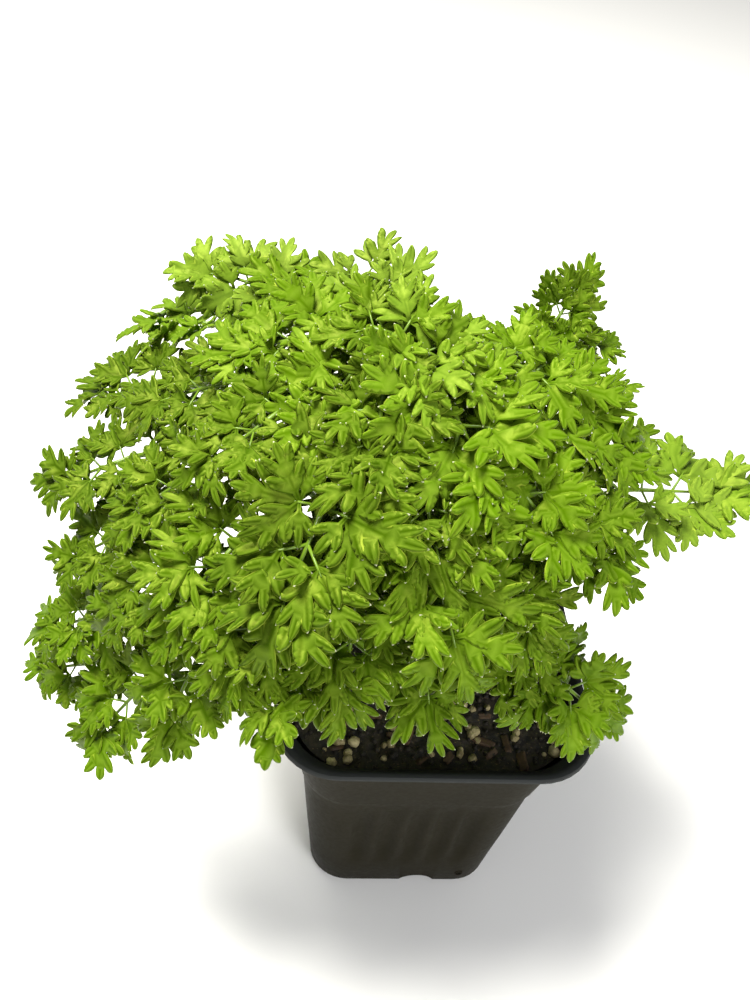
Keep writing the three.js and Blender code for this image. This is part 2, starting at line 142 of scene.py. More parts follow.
# What the leaves of each region are like: how young, from 0, old and dark, to 1, new and
# yellow-green; how full, from 0, cut to the midrib, to 1, cut only at the edge; how much painted
# shade darkens them; how long their leaflets are beside the plan, and how many of them they have.
TRAITS = {
    "inner": {"youth": 0.05, "fullness": 0.4, "region_painted_shade": 0.5, "size": 1.0, "leaflets": 9},
    "top": {"youth": 0.75, "fullness": 0.35, "region_painted_shade": 0.05, "size": 1.0, "leaflets": 9},
    "tall": {"youth": 0.2, "fullness": 0.8, "region_painted_shade": 0.25, "size": 0.85, "leaflets": 5},
    "left": {"youth": 0.1, "fullness": 0.65, "region_painted_shade": 0.55, "size": 0.85, "leaflets": 7},
    "front": {"youth": 0.25, "fullness": 0.3, "region_painted_shade": 0.1, "size": 1.0, "leaflets": 9},
    "right": {"youth": 0.6, "fullness": 0.75, "region_painted_shade": 0.1, "size": 0.88, "leaflets": 9},
    "trailing": {"youth": 0.5, "fullness": 0.9, "region_painted_shade": 0.2, "size": 0.9, "leaflets": 7},
    "back": {"youth": 0.1, "fullness": 0.5, "region_painted_shade": 0.2, "size": 0.95, "leaflets": 9},
}

# Leaves that are paler than the rest: 2 is the palest.
PALE = {
    "parsley_leaf_right_4": 1.45,
    "parsley_leaf_tall_1": 1.5,
    "parsley_leaf_top_1": 1.5,
    "parsley_leaf_top_3": 1.2,
    "parsley_leaf_left_1": 1.2,
}

# ------------------------------------------------------------------ camera and light

CAMERA_PLACE = Vector((-50.1, -192.9, RIM_HEIGHT + 238.1))
CAMERA_TURN = (8.1, 42.5, 8.1)  # degrees to the right, down, and about the line of sight


def place_camera():
    """Looks down on the plant from the front left, turned a little on its axis."""
    yaw, pitch, roll = (math.radians(angle) for angle in CAMERA_TURN)
    level_part = math.cos(pitch)
    ahead = Vector((math.sin(yaw) * level_part, math.cos(yaw) * level_part, -math.sin(pitch)))
    level = Vector((math.cos(yaw), -math.sin(yaw), 0))
    upright = level.cross(ahead)
    right = math.cos(roll) * level + math.sin(roll) * upright
    up = math.cos(roll) * upright - math.sin(roll) * level
    data = bpy.data.cameras.new("camera")
    data.lens = 36
    data.sensor_width = 36
    data.clip_start = 0.01
    data.clip_end = 20
    camera = bpy.data.objects.new("camera", data)
    bpy.context.scene.collection.objects.link(camera)
    turn = Matrix((right, up, -ahead)).transposed().to_4x4()
    camera.matrix_world = Matrix.Translation(CAMERA_PLACE * MM) @ turn
    bpy.context.scene.camera = camera


def add_light(name, place, target, size, power, colour=(1, 1, 1)):
    """A round soft light at a place, aimed at a target."""
    data = bpy.data.lights.new(name, "AREA")
    data.shape = "DISK"
    data.size = size
    data.energy = power
    data.color = colour
    light = bpy.data.objects.new(name, data)
    bpy.context.scene.collection.objects.link(light)
    light.location = place
    light.rotation_mode = "QUATERNION"
    light.rotation_quaternion = (Vector(target) - Vector(place)).to_track_quat("-Z", "Y")


def light_scene():
    """A white room, a warm light high over the left, and a fill low at the front right."""
    world = bpy.data.worlds.new("studio")
    bpy.context.scene.world = world
    world.use_nodes = True
    sky = world.node_tree.nodes["Background"]
    sky.inputs["Color"].default_value = (1, 1, 1, 1)
    sky.inputs["Strength"].default_value = 0.3
    middle = (-0.02, 0.0, 0.15)
    add_light("window", (-0.35, 0.1, 1.1), middle, 0.5, 32, (1.0, 0.98, 0.9))
    add_light("front_fill", (0.5, -0.9, 0.5), middle, 0.6, 10)
    bpy.context.scene.view_settings.view_transform = "Standard"


# ------------------------------------------------------------------ materials


def hex_colour(text):
    """An sRGB hex value as linear red, green and blue, opaque."""
    values = [int(text[i : i + 2], 16) / 255 for i in (0, 2, 4)]
    linear = [v / 12.92 if v <= 0.04045 else ((v + 0.055) / 1.055) ** 2.4 for v in values]
    return (*linear, 1.0)


def add_node(material, kind, settings=None, **sockets):
    """Adds one node, sets its properties, and sets or links its inputs, i0 being the first."""
    tree = material.node_tree
    node = tree.nodes.new(kind)
    for name, value in (settings or {}).items():
        setattr(node, name, value)
    for name, value in sockets.items():
        numbered = name[0] == "i" and name[1:].isdigit()
        socket = node.inputs[int(name[1:]) if numbered else name]
        if isinstance(value, bpy.types.NodeSocket):
            tree.links.new(value, socket)
        else:
            socket.default_value = value
    return node


def new_material(name):
    """A material with no nodes in it yet."""
    material = bpy.data.materials.new(name)
    material.use_nodes = True
    material.node_tree.nodes.clear()
    return material


# Noise scales are grains to the metre, so 500 is a grain every 2 mm. A colour mix has its
# factor on socket 0 and its colours on 6 and 7, and a map range runs from 1..2 to 3..4.
BLEND = {"data_type": "RGBA"}
DARKEN = {"data_type": "RGBA", "blend_type": "MULTIPLY"}


def cover(m, colour, roughness, relief, strength, depth, **finish):
    """Finishes a material: an opaque skin of this colour and roughness, with relief in it."""
    bump = add_node(m, "ShaderNodeBump", Strength=strength, Distance=depth, Height=relief)
    look = {"Base Color": colour, "Roughness": roughness, "Normal": bump.outputs[0], **finish}
    skin = add_node(m, "ShaderNodeBsdfPrincipled", **look)
    add_node(m, "ShaderNodeOutputMaterial", Surface=skin.outputs[0])
    return m


def leaf_material():
    """Living parsley leaf: a waxy skin, puckered every 1.1 mm, over flesh that lets light through.

    To the eye it is a fresh yellow-green, mottled every 4.5 mm and white at each tip. Painted
    shade runs in the groove along each vein and darkens leaves deep in the foliage; a painted
    sheen lies on the hump beside each vein, and painted light shows through the very edge.
    """
    m = new_material("parsley_leaf_waxy")
    place = add_node(m, "ShaderNodeTexCoord").outputs["Object"]
    marks = add_node(m, "ShaderNodeAttribute", {"attribute_name": "marks"})
    parts = add_node(m, "ShaderNodeSeparateColor", Color=marks.outputs["Color"])
    age = marks.outputs["Alpha"]
    from_vein, tip, shade = parts.outputs["Red"], parts.outputs["Green"], parts.outputs["Blue"]
    grown = add_node(m, "ShaderNodeClamp", Value=age).outputs[0]
    old, young, faded_green = hex_colour("305002"), hex_colour("537a02"), hex_colour("8aa046")
    flesh = add_node(m, "ShaderNodeMix", BLEND, i0=grown, i6=old, i7=young).outputs[2]
    faded = add_node(m, "ShaderNodeMapRange", Value=age, i1=1.0, i2=2.0, i3=0.0, i4=0.8).outputs[0]
    flesh = add_node(m, "ShaderNodeMix", BLEND, i0=faded, i6=flesh, i7=faded_green).outputs[2]
    # painted shade: the flesh is darkened towards 173400 as far as the shade mark says
    flesh_in_painted_shade = add_node(m, "ShaderNodeMix", BLEND, i0=0.75, i6=flesh, i7=hex_colour("173400")).outputs[2]
    flesh = add_node(m, "ShaderNodeMix", BLEND, i0=shade, i6=flesh, i7=flesh_in_painted_shade).outputs[2]
    mottle = add_node(m, "ShaderNodeTexNoise", Vector=place, Scale=220.0, Detail=3.0).outputs["Fac"]
    yellowed = add_node(m, "ShaderNodeMix", BLEND, i0=0.3, i6=flesh, i7=hex_colour("7a9612")).outputs[2]
    flesh = add_node(m, "ShaderNodeMix", BLEND, i0=mottle, i6=flesh, i7=yellowed).outputs[2]
    # painted sheen: pale green on the crest of each half lobe, between vein and edge
    painted_sheen = add_node(m, "ShaderNodeMath", {"operation": "PINGPONG"}, i0=from_vein, i1=0.5).outputs[0]
    painted_sheen = add_node(m, "ShaderNodeMapRange", Value=painted_sheen, i1=0.08, i2=0.5, i3=0.0, i4=0.32).outputs[0]
    flesh = add_node(m, "ShaderNodeMix", BLEND, i0=painted_sheen, i6=flesh, i7=hex_colour("92b138")).outputs[2]
    # painted shade in the groove along each vein
    vein = add_node(m, "ShaderNodeMapRange", Value=from_vein, i1=0.0, i2=0.16, i3=0.12, i4=0.0).outputs[0]
    flesh = add_node(m, "ShaderNodeMix", BLEND, i0=vein, i6=flesh, i7=hex_colour("345f00")).outputs[2]
    # painted light: a pale line where light shows through the thin margin
    edge = add_node(m, "ShaderNodeMapRange", Value=from_vein, i1=0.86, i2=1.0, i3=0.0, i4=0.6).outputs[0]
    flesh = add_node(m, "ShaderNodeMix", BLEND, i0=edge, i6=flesh, i7=hex_colour("bace48")).outputs[2]
    white = add_node(m, "ShaderNodeMapRange", Value=tip, i1=0.42, i2=0.8, i3=0.0, i4=1.0).outputs[0]
    flesh = add_node(m, "ShaderNodeMix", BLEND, i0=white, i6=flesh, i7=hex_colour("fffbe0")).outputs[2]
    pucker = add_node(m, "ShaderNodeTexNoise", Vector=place, Scale=900.0, Detail=2.0).outputs["Fac"]
    bump = add_node(m, "ShaderNodeBump", Strength=0.25, Distance=0.0003, Height=pucker).outputs[0]
    skin = add_node(
        m,
        "ShaderNodeBsdfPrincipled",
        **{
            "Base Color": flesh,
            "Roughness": 0.4,
            "IOR": 1.5,
            "Specular IOR Level": 0.36,
            "Specular Tint": hex_colour("dae45a"),
            "Normal": bump,
        },
    )
    glow = add_node(m, "ShaderNodeMix", BLEND, i0=0.4, i6=flesh, i7=hex_colour("86b000")).outputs[2]
    through = add_node(m, "ShaderNodeBsdfTranslucent", Color=glow, Normal=bump)
    leaf = add_node(m, "ShaderNodeMixShader", Fac=0.35, i1=skin.outputs[0], i2=through.outputs[0])
    add_node(m, "ShaderNodeOutputMaterial", Surface=leaf.outputs[0])
    return m


def stalk_material():
    """Fresh parsley stalk: smooth and satin, with darker green streaks every 3.3 mm."""
    m = new_material("parsley_stalk_fresh")
    place = add_node(m, "ShaderNodeTexCoord").outputs["Object"]
    streak = add_node(m, "ShaderNodeTexNoise", Vector=place, Scale=300.0, Detail=2.0).outputs["Fac"]
    deep, pale = hex_colour("4a6a0c"), hex_colour("708c24")
    colour = add_node(m, "ShaderNodeMix", BLEND, i0=streak, i6=deep, i7=pale).outputs[2]
    return cover(m, colour, 0.38, streak, 0.2, 0.0003, IOR=1.45)


def pot_material():
    """Thermoformed black plastic: thin, satin and brownish.

    To the eye it is clouded every 22 mm, greyer on the rim, finely scuffed, and darker in
    patches near the foot.
    """
    m = new_material("pot_plastic_satin_black")
    place = add_node(m, "ShaderNodeTexCoord").outputs["Object"]
    height = add_node(m, "ShaderNodeSeparateXYZ", Vector=place).outputs["Z"]
    cloud = add_node(m, "ShaderNodeTexNoise", Vector=place, Scale=45.0, Detail=5.0).outputs["Fac"]
    dark, light = hex_colour("19170f"), hex_colour("221f15")
    body = add_node(m, "ShaderNodeMix", BLEND, i0=cloud, i6=dark, i7=light).outputs[2]
    at_rim = add_node(m, "ShaderNodeMapRange", Value=height, i1=0.086, i2=0.0905, i3=0.0, i4=1.0)
    rim_grey = hex_colour("2b2d2d")
    body = add_node(m, "ShaderNodeMix", BLEND, i0=at_rim.outputs[0], i6=body, i7=rim_grey).outputs[2]
    # darker in patches near the foot, up to 18 mm high
    low = add_node(m, "ShaderNodeMapRange", Value=height, i1=0.0, i2=0.018, i3=1.0, i4=0.0).outputs[0]
    crumbs = add_node(m, "ShaderNodeTexNoise", Vector=place, Scale=420.0, Detail=2.0).outputs["Fac"]
    dark_patches_near_foot = add_node(m, "ShaderNodeMapRange", Value=crumbs, i1=0.55, i2=0.68, i3=0.0, i4=0.8).outputs[0]
    dark_patches_near_foot = add_node(m, "ShaderNodeMath", {"operation": "MULTIPLY"}, i0=dark_patches_near_foot, i1=low).outputs[0]
    body = add_node(m, "ShaderNodeMix", BLEND, i0=dark_patches_near_foot, i6=body, i7=hex_colour("14110d")).outputs[2]
    scuffs = add_node(m, "ShaderNodeTexNoise", Vector=place, Scale=700.0, Detail=4.0).outputs["Fac"]
    rough = add_node(m, "ShaderNodeMapRange", Value=scuffs, i1=0.3, i2=0.7, i3=0.42, i4=0.52).outputs[0]
    dull = {"IOR": 1.5, "Specular IOR Level": 0.04}
    return cover(m, body, rough, scuffs, 0.06, 0.0002, **dull)


def peat_material():
    """Damp peat: almost black, crumbly every 2.6 mm, with fine brown fibres."""
    m = new_material("potting_mix_damp_peat")
    place = add_node(m, "ShaderNodeTexCoord").outputs["Object"]
    crumb = add_node(m, "ShaderNodeTexNoise", Vector=place, Scale=380.0, Detail=6.0).outputs["Fac"]
    grain = add_node(m, "ShaderNodeMapRange", Value=crumb, i1=0.35, i2=0.7, i3=0.0, i4=1.0).outputs[0]
    wet, dry, strand = hex_colour("0b0a07"), hex_colour("2f2818"), hex_colour("6a5a3a")
    colour = add_node(m, "ShaderNodeMix", BLEND, i0=grain, i6=wet, i7=dry).outputs[2]
    fibre = add_node(m, "ShaderNodeTexNoise", Vector=place, Scale=1400.0, Detail=2.0).outputs["Fac"]
    specks = add_node(m, "ShaderNodeMapRange", Value=fibre, i1=0.64, i2=0.72, i3=0.0, i4=0.7).outputs[0]
    colour = add_node(m, "ShaderNodeMix", BLEND, i0=specks, i6=colour, i7=strand).outputs[2]
    return cover(m, colour, 0.8, crumb, 0.8, 0.001)


def perlite_material():
    """Perlite: expanded volcanic glass, chalky, stained cream and brown, pitted every 0.6 mm."""
    m = new_material("perlite_chalky")
    place = add_node(m, "ShaderNodeTexCoord").outputs["Object"]
    stain = add_node(m, "ShaderNodeTexNoise", Vector=place, Scale=260.0, Detail=4.0).outputs["Fac"]
    spread = add_node(m, "ShaderNodeMapRange", Value=stain, i1=0.35, i2=0.65, i3=0.0, i4=1.0).outputs[0]
    stained, clean = hex_colour("6b5f3a"), hex_colour("b3a87c")
    colour = add_node(m, "ShaderNodeMix", BLEND, i0=spread, i6=stained, i7=clean).outputs[2]
    pits = add_node(m, "ShaderNodeTexVoronoi", Vector=place, Scale=1800.0).outputs["Distance"]
    return cover(m, colour, 0.75, pits, 0.6, 0.0004)


def bark_material():
    """Composted bark chips: dull brown, rough, with a patchy grain every 2 mm."""
    m = new_material("bark_chip_composted")
    place = add_node(m, "ShaderNodeTexCoord").outputs["Object"]
    layers = add_node(m, "ShaderNodeTexNoise", Vector=place, Scale=500.0, Detail=5.0).outputs["Fac"]
    dark, light = hex_colour("1c150d"), hex_colour("5a4228")
    colour = add_node(m, "ShaderNodeMix", BLEND, i0=layers, i6=dark, i7=light).outputs[2]
    return cover(m, colour, 0.7, layers, 0.6, 0.0006)


def crown_material():
    """The crown and taproot: fleshy, cream below and green where the stalks leave it."""
    m = new_material("rootstock_fleshy")
    place = add_node(m, "ShaderNodeTexCoord").outputs["Object"]
    height = add_node(m, "ShaderNodeSeparateXYZ", Vector=place).outputs["Z"]
    low, high = MIX_TOP * MM - 0.004, MIX_TOP * MM + 0.004
    green = add_node(m, "ShaderNodeMapRange", Value=height, i1=low, i2=high, i3=0.0, i4=1.0).outputs[0]
    root, neck, scar = hex_colour("b8a878"), hex_colour("7d9436"), hex_colour("5c5a2c")
    colour = add_node(m, "ShaderNodeMix", BLEND, i0=green, i6=root, i7=neck).outputs[2]
    rings = add_node(m, "ShaderNodeTexNoise", Vector=place, Scale=350.0, Detail=3.0).outputs["Fac"]
    colour = add_node(m, "ShaderNodeMix", DARKEN, i0=rings, i6=colour, i7=scar).outputs[2]
    return cover(m, colour, 0.5, rings, 0.4, 0.0005)


# ------------------------------------------------------------------ modelling helpers


def draw_up(height, half, profile):
    """Extrudes the selected face from its height and half width through those of a profile."""
    for level, wide in profile:
        rise, scale = level - height, wide / half
        bpy.ops.mesh.extrude_region_move(TRANSFORM_OT_translate={"value": (0, 0, rise * MM)})
        bpy.ops.transform.resize(value=(scale, scale, 1), center_override=(0, 0, 0))
        height, half = level, wide


def close_end(piece):
    """Closes the open end that drawing up leaves, with one face."""
    bpy.ops.mesh.select_mode(type="VERT")
    bpy.ops.mesh.select_all(action="DESELECT")
    mesh_edit = bmesh.from_edit_mesh(piece.data)
    for edge in mesh_edit.edges:
        if edge.is_boundary:
            edge.select_set(True)
    bpy.ops.mesh.edge_face_add()


# ------------------------------------------------------------------ the leaves

# A leaf segment in units of its length, its foot at 0 and its tip at 1. For each lobe from the
# foot up: where its vein leaves the midrib, its tip, half its width and the notch above it,
# where the segment is cut deep and where it is cut shallow. Last comes the lobe at the end:
# where it starts and half its width.
SEGMENTS = {
    "small": (
        [((0, 0.26), (0.38, 0.76), 0.12, (0.045, 0.44), (0.12, 0.6))],
        (0.42, 0.125),
    ),
    "medium": (
        [
            ((0, 0.2), (0.42, 0.58), 0.1, (0.04, 0.37), (0.12, 0.47)),
            ((0, 0.45), (0.27, 0.87), 0.085, (0.04, 0.63), (0.09, 0.74)),
        ],
        (0.58, 0.085),
    ),
    "large": (
        [
            ((0, 0.1), (0.37, 0.42), 0.082, (0.038, 0.25), (0.12, 0.34)),
            ((0, 0.3), (0.36, 0.69), 0.082, (0.038, 0.47), (0.12, 0.57)),
            ((0, 0.54), (0.22, 0.89), 0.07, (0.038, 0.7), (0.09, 0.78)),
        ],
        (0.66, 0.074),
    ),
}
VARIANTS = 8  # differently grown outlines of each kind of segment
STALK_HALF = 0.035  # half the width of a segment's foot
SHOULDER, TAPER, BULGE = 0.42, 0.24, 1.1  # how an edge leaves its notch, nears its tip, swells
STATIONS = (0.24, 0.5, 0.72, 0.88)  # along each lobe, from notch to tip
COLUMNS = (1, 0.55, 0, 0.55, 1)  # across each lobe, from edge to edge
CREST = {0: -0.22, 0.55: 0.24, 1: -0.3}  # height across a lobe, in half widths
AT_FOOT, AT_NOTCH = 0.7, 0.8  # the share of the way to the edge that these count as


def lobe_rows(base, tip, half, right_notch, left_notch):
    """Rows of points across one lobe, from its notches to its tip."""
    base, tip = np.array(base, float), np.array(tip, float)
    axis = tip - base
    reach = np.linalg.norm(axis)
    axis /= reach
    right = np.array((axis[1], -axis[0]))
    edges = []
    for side, notch in ((1, right_notch), (-1, left_notch)):
        notch = np.array(notch, float)
        left_over = reach - np.dot(notch - base, axis)
        out = right * side
        widen = half - np.dot(notch - base, out)
        first = notch + axis * left_over * SHOULDER + out * widen * BULGE
        second = tip - axis * left_over * TAPER + out * half * BULGE
        curve = []
        for u in STATIONS:
            v = 1 - u
            curve.append(v**3 * notch + 3 * v * v * u * first + 3 * v * u * u * second + u**3 * tip)
        edges.append(curve)
    rows = []
    for one, two in zip(*edges):
        vein = base + axis * np.dot((one + two) / 2 - base, axis)
        row = [vein + ((one, two)[index > 2] - vein) * q for index, q in enumerate(COLUMNS)]
        rows.append(row)
    return rows


def grow_segment(kind, rng, fullness):
    """One flat segment: its points, its triangles, and each point's marks.

    A full segment has broad lobes and shallow notches. The marks are the share of the way
    from vein to edge, how near it is to a tip, how far out along a lobe, and half the
    lobe's width.
    """
    pairs, (end_start, end_half) = SEGMENTS[kind]
    shallow = fullness + rng.uniform(-0.25, 0.25)
    plumpness = 1 + 0.25 * fullness
    sides = []
    for _ in range(2):
        grown = []
        for base, tip, half, deep_notch, shallow_notch in pairs:
            notch = Vector(deep_notch).lerp(Vector(shallow_notch), shallow)
            angle, reach = rng.uniform(-0.14, 0.14), rng.uniform(0.86, 1.1)
            run = (Vector(tip) - Vector(base)) * reach
            run.rotate(Matrix.Rotation(angle, 2))
            half = half * plumpness * rng.uniform(0.9, 1.12)
            grown.append((base, tuple(Vector(base) + run), half, tuple(notch)))
        sides.append(grown)
    right_side = sides[0]
    left_side = [
        (base, (-tip[0], tip[1]), half, (-notch[0], notch[1])) for base, tip, half, notch in sides[1]
    ]
    points, marks, outline, creases = [], [], [], []

    def put(point, from_vein, tip, out, half):
        """Keeps a point and its marks, and gives its number."""
        points.append((float(point[0]), float(point[1])))
        marks.append((from_vein, tip, out, half))
        return len(points) - 1

    first_start = pairs[0][0][1] * 0.85
    before = (STALK_HALF * 1.5, first_start)
    lobes = []
    for base, tip, half, notch in right_side:
        lobes.append((base, tip, half, before, notch))
        before = notch
    end_tip = (rng.uniform(-0.05, 0.05), 1.0)
    end_half *= plumpness * rng.uniform(0.9, 1.1)
    lobes.append(((0, end_start), end_tip, end_half, before, left_side[-1][3]))
    for index in range(len(left_side) - 1, -1, -1):
        base, tip, half, notch = left_side[index]
        after = left_side[index - 1][3] if index else (-STALK_HALF * 1.5, first_start)
        lobes.append((base, tip, half, notch, after))

    outline.append(put((-STALK_HALF, 0), AT_FOOT, 0, 0, STALK_HALF))
    outline.append(put((STALK_HALF, 0), AT_FOOT, 0, 0, STALK_HALF))
    outline.append(put(lobes[0][3], AT_NOTCH, 0, 0, STALK_HALF))
    for base, tip, half, right_notch, left_notch in lobes:
        ups, downs, veins = [], [], []
        for row, out in zip(lobe_rows(base, tip, half, right_notch, left_notch), STATIONS):
            indices = [put(point, q, 0, out, half) for point, q in zip(row, COLUMNS)]
            ups.append(indices[0])
            veins.append(indices[2])
            downs.append(indices[-1])
        top = put(tip, 1, 1, 1, half)
        outline.extend([*ups, top, *reversed(downs), put(left_notch, AT_NOTCH, 0, 0, half)])
        creases.extend(zip(veins, [*veins[1:], top]))
    spine = [0.0] + [base[1] for base, *_ in pairs]
    spine = [put((0, y), 0, 0, 0, STALK_HALF) for y in spine]
    creases.extend(zip(spine, spine[1:]))
    edges = list(zip(outline, outline[1:] + outline[:1])) + creases
    found = delaunay_2d_cdt([Vector(point) for point in points], edges, [], 1, 1e-6)
    flat = np.array([tuple(point) for point in found[0]])
    kept = np.array([marks[origin[0]] if origin else (0.5, 0, 0.3, 0.1) for origin in found[3]])
    return flat, [tuple(face) for face in found[2]], kept


class Surface:
    """Collects the vertices and faces of one leaf, with the marks that colour it."""

    def __init__(self):
        self.points, self.faces, self.slots, self.marks, self.smooth = [], [], [], [], []
        self.count = 0

    def add(self, points, faces, marks, slot, flat_from=None):
        """Adds points and faces. Faces from flat_from on are shaded flat."""
        self.points.append(np.asarray(points, float))
        self.marks.append(np.asarray(marks, float))
        self.faces.extend(tuple(corner + self.count for corner in face) for face in faces)
        self.slots.extend([slot] * len(faces))
        flat_from = len(faces) if flat_from is None else flat_from
        self.smooth.extend([index < flat_from for index in range(len(faces))])
        self.count += len(points)

    def build(self, name, materials):
        """Makes the leaf's object, with its marks on it as a colour attribute."""
        mesh = bpy.data.meshes.new(name)
        mesh.from_pydata((np.concatenate(self.points) * MM).tolist(), [], self.faces)
        mesh.polygons.foreach_set("material_index", self.slots)
        mesh.polygons.foreach_set("use_smooth", self.smooth)
        marks = mesh.attributes.new("marks", "FLOAT_COLOR", "POINT")
        marks.data.foreach_set("color", np.concatenate(self.marks).ravel())
        for material in materials:
            mesh.materials.append(material)
        mesh.validate()
        piece = bpy.data.objects.new(name, mesh)
        bpy.context.scene.collection.objects.link(piece)
        return piece


def thin_shell(surface, top, faces, marks):
    """Adds a sheet with its underside and its edge, so that it is a closed, thin solid."""
    normals = np.zeros_like(top)
    corners = np.array(faces)
    cross = np.cross(top[corners[:, 1]] - top[corners[:, 0]], top[corners[:, 2]] - top[corners[:, 0]])
    for column in range(3):
        np.add.at(normals, corners[:, column], cross)
    normals /= np.maximum(np.linalg.norm(normals, axis=1), 1e-9)[:, None]
    under = top - normals * LEAF_THICKNESS
    count = len(top)
    directed = {edge for a, b, c in faces for edge in ((a, b), (b, c), (c, a))}
    rim = sorted(edge for edge in directed if (edge[1], edge[0]) not in directed)
    below = [(c + count, b + count, a + count) for a, b, c in faces]
    sides = [(b, a, a + count, b + count) for a, b in rim]
    closed = [*faces, *below, *sides]
    surface.add(np.vstack([top, under]), closed, np.vstack([marks, marks]), 0, len(faces) * 2)


def tube(surface, route, radii, tint, sides=7):
    """Adds a stalk along a route, closed at both ends, all with the same marks."""
    route = [Vector(point) for point in route]
    points, faces = [], []
    side = Vector((1, 0, 0))
    for index, point in enumerate(route):
        ahead = (route[min(index + 1, len(route) - 1)] - route[max(index - 1, 0)]).normalized()
        side = (side - ahead * side.dot(ahead)).normalized()
        other = ahead.cross(side)
        for step in range(sides):
            angle = 2 * math.pi * step / sides
            points.append(point + radii[index] * (math.cos(angle) * side + math.sin(angle) * other))
    for ring in range(len(route) - 1):
        for step in range(sides):
            a, b = ring * sides + step, ring * sides + (step + 1) % sides
            faces.append((a, b, b + sides, a + sides))
    faces.append(tuple(range(sides - 1, -1, -1)))
    faces.append(tuple(range((len(route) - 1) * sides, len(route) * sides)))
    surface.add(points, faces, [tint] * len(points), 1)


def bezier(points, steps):
    """Points along a curve from the first of four points to the last."""
    a, b, c, d = points
    route = []
    for step in range(steps + 1):
        u = step / steps
        v = 1 - u
        route.append(v**3 * a + 3 * v * v * u * b + 3 * v * u * u * c + u**3 * d)
    return route


def blade_frame(leaf):
    """Where the middle of a blade is, and the way it faces and runs."""
    at, _, *turned = leaf
    middle = Vector(at) + Vector((0, 0, RIM_HEIGHT))
    outward = Vector((at[0], at[1], 0)) - PLANT_AXIS
    if len(turned) > 1:
        face = Vector(turned[1])
    else:
        face = Vector((
            outward.x / DOME_RADII.x**2,
            outward.y / DOME_RADII.y**2,
            (middle.z - DOME_CENTRE_HEIGHT) / DOME_RADII.z**2,
        )).normalized() + LIGHT
    face.normalize()
    ahead = Vector(turned[0]) if turned else outward / max(outward.length, 1)
    ahead = (ahead - face * ahead.dot(face)).normalized()
    return middle, face, ahead


def turned_frame(along, face, turn, pitch, roll):
    """Swings a direction about the face, lifts it off the sheet, and rolls the sheet about it."""
    along = Matrix.Rotation(math.radians(turn), 3, face) @ along
    across = along.cross(face).normalized()
    lift = Matrix.Rotation(math.radians(pitch), 3, across)
    along, face = lift @ along, lift @ face
    return along, Matrix.Rotation(math.radians(roll), 3, along) @ face


# Painted shade: leaves are painted darker the deeper they lie within the foliage.
DARK_BY = 0.5  # the share of the dome's radius over which the foliage darkens inwards


def deepness(points):
    """How deep within the foliage points are, from 0 at its outside to 1 inside."""
    middle = np.array((PLANT_AXIS.x, PLANT_AXIS.y, RIM_HEIGHT))
    reach = np.linalg.norm((points - middle) / np.array(DOME_RADII), axis=1)
    return np.clip((1.0 - reach) / DARK_BY, 0, 1)


# The least and most that a segment is bent, each its own way.
FOLD = (0.0, 0.5)  # up from the midrib, as a slope
RIPPLE = (-0.06, 0.1)  # from lobe to lobe, in segment lengths
ARCH = (0.0, 0.55)  # down towards its end
CURL = (-0.02, 0.09)  # down towards its lobes' tips, in segment lengths
TWIST = (-0.5, 0.5)  # about the midrib, in radians
SWEEP = (-0.12, 0.12)  # sideways towards its end


def add_segment(surface, rng, outlines, foot, along, face, length, age, dark):
    """One segment, its lobes crested, folded up along the midrib and arched."""
    flat, faces, marks = rng.choice(outlines)
    from_vein, tip, out, half = marks.T
    x, y = flat.T * length
    crest = np.interp(from_vein, list(CREST), list(CREST.values()))
    height = half * length * crest * np.minimum(out * 2.5, 1)
    height += rng.uniform(*FOLD) * np.abs(x)
    height += rng.uniform(*RIPPLE) * length * out * np.sin(9 * np.arctan2(x, y + 0.3 * length))
    height -= rng.uniform(*ARCH) * y**2 / length
    height -= rng.uniform(*CURL) * length * out**2
    twist = rng.uniform(*TWIST) * y / length
    x, height = x * np.cos(twist) - height * np.sin(twist), x * np.sin(twist) + height * np.cos(twist)
    x = x + rng.uniform(*SWEEP) * y**2 / length
    across = along.cross(face).normalized()
    basis = np.array([across, along, across.cross(along)])
    top = np.array(foot) + np.stack([x, y, height], 1) @ basis
    # painted shade: deeper inside the foliage, on leaflets below the blade, in shaded regions and towards
    # each segment's foot, with a little random variation
    shade = deepness(top) + dark + 0.3 * (1 - y / length) + rng.uniform(-0.25, 0.1)
    ages = np.full(len(marks), age + rng.uniform(-0.2, 0.2))
    thin_shell(surface, top, faces, np.stack([from_vein, tip, shade, ages], 1))


# The segments of a leaflet: how far each is turned, how long it is beside the leaflet, how
# far it is lifted, and its kind.
LEAFLET_PLANS = {
    "broad": [
        (0, 0.74, 10, "large"),
        (50, 0.66, 18, "medium"),
        (-50, 0.66, 18, "medium"),
        (98, 0.48, 24, "small"),
        (-98, 0.48, 24, "small"),
    ],
    "narrow": [
        (0, 0.74, 12, "medium"),
        (54, 0.56, 22, "small"),
        (-54, 0.56, 22, "small"),
    ],
}
HUB = 0.26  # where a leaflet's segments meet, as a share of its length
STALK_MARKS = (0.3, 0, 0.5)  # how a stalk is marked: off the vein, no tip, half in shade


def add_leaflet(surface, rng, outlines, root, along, face, length, plan, age, dark):
    """One leaflet: its own short stalk, and the segments that meet at the end of it."""
    hub = root + along * length * HUB
    girth = 0.02 * length
    stub = [root, hub, hub + along * 0.1 * length]
    tube(surface, stub, [girth, girth * 0.9, girth * 0.5], (*STALK_MARKS, age), 5)
    for turn, share, lift, kind in LEAFLET_PLANS[plan]:
        turn += rng.uniform(-9, 9)
        way, out = turned_frame(along, face, turn, lift + rng.uniform(-11, 11), rng.uniform(-13, 13))
        reach = length * share * rng.uniform(0.9, 1.12)
        add_segment(surface, rng, outlines[kind], hub, way, out, reach, age, dark)


